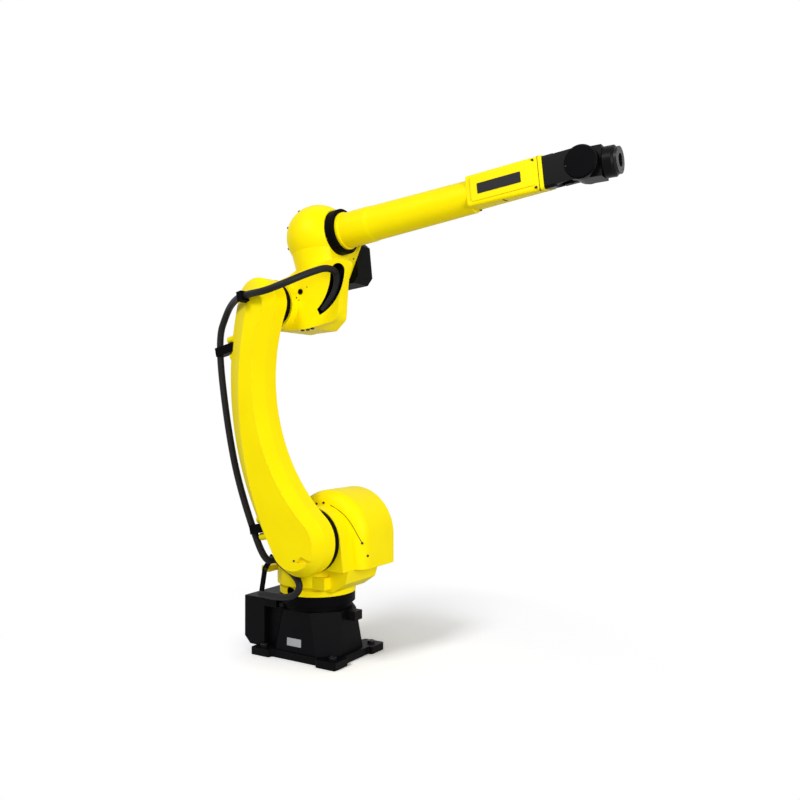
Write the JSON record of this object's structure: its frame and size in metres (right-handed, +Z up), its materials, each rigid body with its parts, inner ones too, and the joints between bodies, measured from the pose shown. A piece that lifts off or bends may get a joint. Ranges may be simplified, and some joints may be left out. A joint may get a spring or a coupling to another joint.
{
  "type": "industrial robot arm",
  "caption": "Floor-standing jointed robot arm: black bolted base, yellow turret and bowed lower arm, long forearm, dark wrist with hollow tool flange, hose along the back.",
  "frame": {"origin": "on the floor under the waist axis, at the middle of the base foot's lower face", "axes": "+Z up along the waist axis, +X ahead of the arm as its tool points, +Y to its left; the lower arm is on the -Y side"},
  "size_m": [1.4168, 0.5341, 1.6483],
  "materials": {
    "yellow_paint": "glossy enamel on cast aluminium and iron",
    "base_black": "satin black paint on iron casting",
    "ring_black": "satin black",
    "bracket_black": "black sheet steel",
    "hose_rubber": "matte dark rubber",
    "clamp_plastic": "moulded black",
    "motor_black": "satin black housing",
    "wrist_black": "satin black",
    "flange_steel": "blackened machined steel"
  },
  "bodies": {
    "fixed_base": {"base_foot": "base_black", "base_casting": "base_black", "connector_box": "base_black", "waist_ring": "ring_black"},
    "turret": {"turret_casting": "yellow_paint", "motor_hood": "yellow_paint", "shoulder_ring": "ring_black", "hose_strip": "bracket_black", "hose_lower_loop": "hose_rubber"},
    "arm_link": {"lower_arm": "yellow_paint", "hose_clamp_low": "clamp_plastic", "hose_clamp_high": "clamp_plastic", "hose_clip": "clamp_plastic", "hose_arm_run": "hose_rubber", "hose_elbow_loop": "hose_rubber"},
    "elbow_link": {"elbow_ring": "ring_black", "elbow_casting": "yellow_paint", "elbow_motor": "motor_black", "elbow_plug": "clamp_plastic", "forearm_ring": "ring_black", "hose_slot_end": "hose_rubber"},
    "forearm_link": {"forearm": "yellow_paint", "side_cover_near": "yellow_paint", "side_cover_far": "yellow_paint", "wrist_fork": "wrist_black", "wrist_cap_near": "wrist_black", "wrist_cap_far": "wrist_black"},
    "wrist_link": {"wrist_body": "wrist_black"},
    "flange_link": {"tool_flange": "flange_steel"}
  },
  "joints": [
    {"name": "waist", "type": "hinge", "parent": "fixed_base", "child": "turret", "pos_m": [0, 0, 0.225], "axis": [0, 0, 1], "range_deg": [-170, 170]},
    {"name": "shoulder", "type": "hinge", "parent": "turret", "child": "arm_link", "pos_m": [0.075, 0, 0.425], "axis": [0, 1, 0], "range_deg": [-67, 117], "deforming": ["hose_lower_loop"]},
    {"name": "elbow", "type": "hinge", "parent": "arm_link", "child": "elbow_link", "pos_m": [-0.10967, 0, 1.24445], "axis": [0, -1, 0], "range_deg": [-70, 193], "deforming": ["hose_elbow_loop"]},
    {"name": "forearm_roll", "type": "hinge", "parent": "elbow_link", "child": "forearm_link", "pos_m": [-0.13423, 0, 1.47816], "axis": [0.9945, 0, 0.1045], "range_deg": [-200, 200]},
    {"name": "wrist_bend", "type": "hinge", "parent": "forearm_link", "child": "wrist_link", "pos_m": [0.99952, 0, 1.59732], "axis": [0, -1, 0], "range_deg": [-120, 130]},
    {"name": "flange_turn", "type": "hinge", "parent": "wrist_link", "child": "flange_link", "pos_m": [1.1038, 0, 1.59914], "axis": [0.9998, 0, 0.0175], "range_deg": [-450, 450]}
  ]
}
